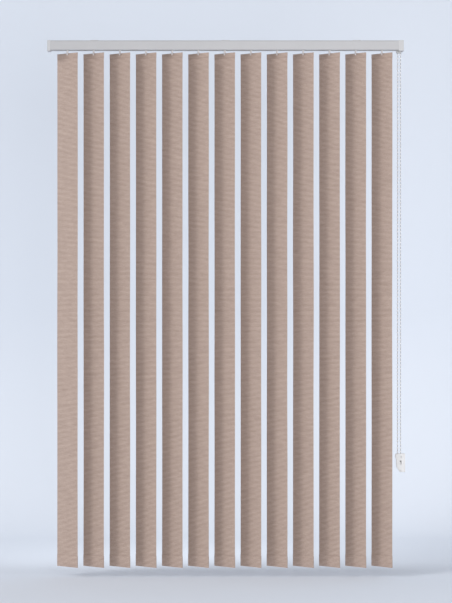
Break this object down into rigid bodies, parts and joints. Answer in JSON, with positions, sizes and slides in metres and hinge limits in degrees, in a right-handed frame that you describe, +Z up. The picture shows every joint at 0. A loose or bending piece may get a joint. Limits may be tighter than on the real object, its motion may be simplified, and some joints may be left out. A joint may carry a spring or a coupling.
{
  "type": "vertical blind",
  "caption": "White headrail with a row of taupe ribbed fabric louvres on turning hooks, tilted by a looped bead chain held by a chain tidy.",
  "frame": {"origin": "centre of the top face of the middle ceiling bracket", "axes": "+X along the headrail to the control end, -Y to the room, +Z up to the ceiling"},
  "size_m": [1.091, 0.068, 1.6065],
  "materials": {
    "rail_paint": "satin white powder coat",
    "cap_plastic": "white moulded plastic",
    "hook_plastic": "milky white moulded plastic",
    "carrier_plastic": "natural white moulded plastic",
    "louvre_fabric": "ribbed taupe cloth",
    "chain_plastic": "white moulded beads on a cord",
    "rod_metal": "mill finish",
    "bracket_steel": "white enamel on spring steel",
    "pin_steel": "bright",
    "gear_plastic": "natural moulded plastic"
  },
  "bodies": {
    "rail": {"headrail": "rail_paint", "bracket_left": "bracket_steel", "bracket_centre": "bracket_steel", "bracket_right": "bracket_steel", "end_cap": "cap_plastic", "control_housing": "cap_plastic", "control_cover": "cap_plastic", "chain_guide": "cap_plastic", "sprocket_pin": "pin_steel", "carrier_stop": "carrier_plastic", "control_chain": "chain_plastic", "tidy_body": "cap_plastic", "tidy_cover": "cap_plastic", "tidy_pin": "pin_steel", "carrier_13": "carrier_plastic"},
    "rod": {"tilt_rod": "rod_metal", "rod_gear": "gear_plastic"},
    "sprocket": {"sprocket": "gear_plastic"},
    "tidy_wheel": {"tidy_wheel": "gear_plastic"},
    "carrier_01": {"carrier_01": "carrier_plastic"},
    "carrier_02": {"carrier_02": "carrier_plastic"},
    "carrier_03": {"carrier_03": "carrier_plastic"},
    "carrier_04": {"carrier_04": "carrier_plastic"},
    "carrier_05": {"carrier_05": "carrier_plastic"},
    "carrier_06": {"carrier_06": "carrier_plastic"},
    "carrier_07": {"carrier_07": "carrier_plastic"},
    "carrier_08": {"carrier_08": "carrier_plastic"},
    "carrier_09": {"carrier_09": "carrier_plastic"},
    "carrier_10": {"carrier_10": "carrier_plastic"},
    "carrier_11": {"carrier_11": "carrier_plastic"},
    "carrier_12": {"carrier_12": "carrier_plastic"},
    "louvre_01": {"hook_01": "hook_plastic", "louvre_01": "louvre_fabric"},
    "louvre_02": {"hook_02": "hook_plastic", "louvre_02": "louvre_fabric"},
    "louvre_03": {"hook_03": "hook_plastic", "louvre_03": "louvre_fabric"},
    "louvre_04": {"hook_04": "hook_plastic", "louvre_04": "louvre_fabric"},
    "louvre_05": {"hook_05": "hook_plastic", "louvre_05": "louvre_fabric"},
    "louvre_06": {"hook_06": "hook_plastic", "louvre_06": "louvre_fabric"},
    "louvre_07": {"hook_07": "hook_plastic", "louvre_07": "louvre_fabric"},
    "louvre_08": {"hook_08": "hook_plastic", "louvre_08": "louvre_fabric"},
    "louvre_09": {"hook_09": "hook_plastic", "louvre_09": "louvre_fabric"},
    "louvre_10": {"hook_10": "hook_plastic", "louvre_10": "louvre_fabric"},
    "louvre_11": {"hook_11": "hook_plastic", "louvre_11": "louvre_fabric"},
    "louvre_12": {"hook_12": "hook_plastic", "louvre_12": "louvre_fabric"},
    "louvre_13": {"hook_13": "hook_plastic", "louvre_13": "louvre_fabric"}
  },
  "joints": [
    {"name": "draw_01", "type": "slide", "parent": "rail", "child": "carrier_01", "axis": [1, 0, 0], "range_m": [0, 0.756]},
    {"name": "draw_02", "type": "slide", "parent": "rail", "child": "carrier_02", "axis": [1, 0, 0], "range_m": [0, 0.693]},
    {"name": "draw_03", "type": "slide", "parent": "rail", "child": "carrier_03", "axis": [1, 0, 0], "range_m": [0, 0.63]},
    {"name": "draw_04", "type": "slide", "parent": "rail", "child": "carrier_04", "axis": [1, 0, 0], "range_m": [0, 0.567]},
    {"name": "draw_05", "type": "slide", "parent": "rail", "child": "carrier_05", "axis": [1, 0, 0], "range_m": [0, 0.504]},
    {"name": "draw_06", "type": "slide", "parent": "rail", "child": "carrier_06", "axis": [1, 0, 0], "range_m": [0, 0.441]},
    {"name": "draw_07", "type": "slide", "parent": "rail", "child": "carrier_07", "axis": [1, 0, 0], "range_m": [0, 0.378]},
    {"name": "draw_08", "type": "slide", "parent": "rail", "child": "carrier_08", "axis": [1, 0, 0], "range_m": [0, 0.315]},
    {"name": "draw_09", "type": "slide", "parent": "rail", "child": "carrier_09", "axis": [1, 0, 0], "range_m": [0, 0.252]},
    {"name": "draw_10", "type": "slide", "parent": "rail", "child": "carrier_10", "axis": [1, 0, 0], "range_m": [0, 0.189]},
    {"name": "draw_11", "type": "slide", "parent": "rail", "child": "carrier_11", "axis": [1, 0, 0], "range_m": [0, 0.126]},
    {"name": "draw_12", "type": "slide", "parent": "rail", "child": "carrier_12", "axis": [1, 0, 0], "range_m": [0, 0.063]},
    {"name": "tilt_01", "type": "hinge", "parent": "carrier_01", "child": "louvre_01", "pos_m": [-0.4825, 0, -0.0165], "axis": [0, 0, -1], "range_deg": [-32.5, 115.5]},
    {"name": "tilt_02", "type": "hinge", "parent": "carrier_02", "child": "louvre_02", "pos_m": [-0.4025, 0, -0.0165], "axis": [0, 0, -1], "range_deg": [-32.5, 115.5]},
    {"name": "tilt_03", "type": "hinge", "parent": "carrier_03", "child": "louvre_03", "pos_m": [-0.3225, 0, -0.0165], "axis": [0, 0, -1], "range_deg": [-32.5, 115.5]},
    {"name": "tilt_04", "type": "hinge", "parent": "carrier_04", "child": "louvre_04", "pos_m": [-0.2425, 0, -0.0165], "axis": [0, 0, -1], "range_deg": [-32.5, 115.5]},
    {"name": "tilt_05", "type": "hinge", "parent": "carrier_05", "child": "louvre_05", "pos_m": [-0.1625, 0, -0.0165], "axis": [0, 0, -1], "range_deg": [-32.5, 115.5]},
    {"name": "tilt_06", "type": "hinge", "parent": "carrier_06", "child": "louvre_06", "pos_m": [-0.0825, 0, -0.0165], "axis": [0, 0, -1], "range_deg": [-32.5, 115.5]},
    {"name": "tilt_07", "type": "hinge", "parent": "carrier_07", "child": "louvre_07", "pos_m": [-0.0025, 0, -0.0165], "axis": [0, 0, -1], "range_deg": [-32.5, 115.5]},
    {"name": "tilt_08", "type": "hinge", "parent": "carrier_08", "child": "louvre_08", "pos_m": [0.0775, 0, -0.0165], "axis": [0, 0, -1], "range_deg": [-32.5, 115.5]},
    {"name": "tilt_09", "type": "hinge", "parent": "carrier_09", "child": "louvre_09", "pos_m": [0.1575, 0, -0.0165], "axis": [0, 0, -1], "range_deg": [-32.5, 115.5]},
    {"name": "tilt_10", "type": "hinge", "parent": "carrier_10", "child": "louvre_10", "pos_m": [0.2375, 0, -0.0165], "axis": [0, 0, -1], "range_deg": [-32.5, 115.5]},
    {"name": "tilt_11", "type": "hinge", "parent": "carrier_11", "child": "louvre_11", "pos_m": [0.3175, 0, -0.0165], "axis": [0, 0, -1], "range_deg": [-32.5, 115.5]},
    {"name": "tilt_12", "type": "hinge", "parent": "carrier_12", "child": "louvre_12", "pos_m": [0.3975, 0, -0.0165], "axis": [0, 0, -1], "range_deg": [-32.5, 115.5]},
    {"name": "tilt_13", "type": "hinge", "parent": "rail", "child": "louvre_13", "pos_m": [0.4775, 0, -0.0165], "axis": [0, 0, -1], "range_deg": [-32.5, 115.5]},
    {"name": "rod_turn", "type": "hinge", "parent": "rail", "child": "rod", "pos_m": [0, 0.009, -0.0165], "axis": [1, 0, 0], "range_deg": [-1386.01, 390.01]},
    {"name": "sprocket_turn", "type": "hinge", "parent": "rail", "child": "sprocket", "pos_m": [0.53, 0, -0.0165], "axis": [0, 1, 0], "range_deg": [-390.01, 1386.01]},
    {"name": "tidy_wheel_turn", "type": "hinge", "parent": "rail", "child": "tidy_wheel", "pos_m": [0.5297, 0, -1.2915], "axis": [0, 1, 0], "range_deg": [-593.73, 2109.99]}
  ],
  "couplings": [
    {"joint": "draw_02", "follows": "draw_01", "ratio": 0.91667},
    {"joint": "draw_03", "follows": "draw_01", "ratio": 0.83333},
    {"joint": "draw_04", "follows": "draw_01", "ratio": 0.75},
    {"joint": "draw_05", "follows": "draw_01", "ratio": 0.66667},
    {"joint": "draw_06", "follows": "draw_01", "ratio": 0.58333},
    {"joint": "draw_07", "follows": "draw_01", "ratio": 0.5},
    {"joint": "draw_08", "follows": "draw_01", "ratio": 0.41667},
    {"joint": "draw_09", "follows": "draw_01", "ratio": 0.33333},
    {"joint": "draw_10", "follows": "draw_01", "ratio": 0.25},
    {"joint": "draw_11", "follows": "draw_01", "ratio": 0.16667},
    {"joint": "draw_12", "follows": "draw_01", "ratio": 0.083333},
    {"joint": "tilt_02", "follows": "tilt_01", "ratio": 1},
    {"joint": "tilt_03", "follows": "tilt_01", "ratio": 1},
    {"joint": "tilt_04", "follows": "tilt_01", "ratio": 1},
    {"joint": "tilt_05", "follows": "tilt_01", "ratio": 1},
    {"joint": "tilt_06", "follows": "tilt_01", "ratio": 1},
    {"joint": "tilt_07", "follows": "tilt_01", "ratio": 1},
    {"joint": "tilt_08", "follows": "tilt_01", "ratio": 1},
    {"joint": "tilt_09", "follows": "tilt_01", "ratio": 1},
    {"joint": "tilt_10", "follows": "tilt_01", "ratio": 1},
    {"joint": "tilt_11", "follows": "tilt_01", "ratio": 1},
    {"joint": "tilt_12", "follows": "tilt_01", "ratio": 1},
    {"joint": "tilt_13", "follows": "tilt_01", "ratio": 1},
    {"joint": "rod_turn", "follows": "tilt_01", "ratio": -12},
    {"joint": "sprocket_turn", "follows": "tilt_01", "ratio": 12},
    {"joint": "tidy_wheel_turn", "follows": "tilt_01", "ratio": 18.268}
  ]
}
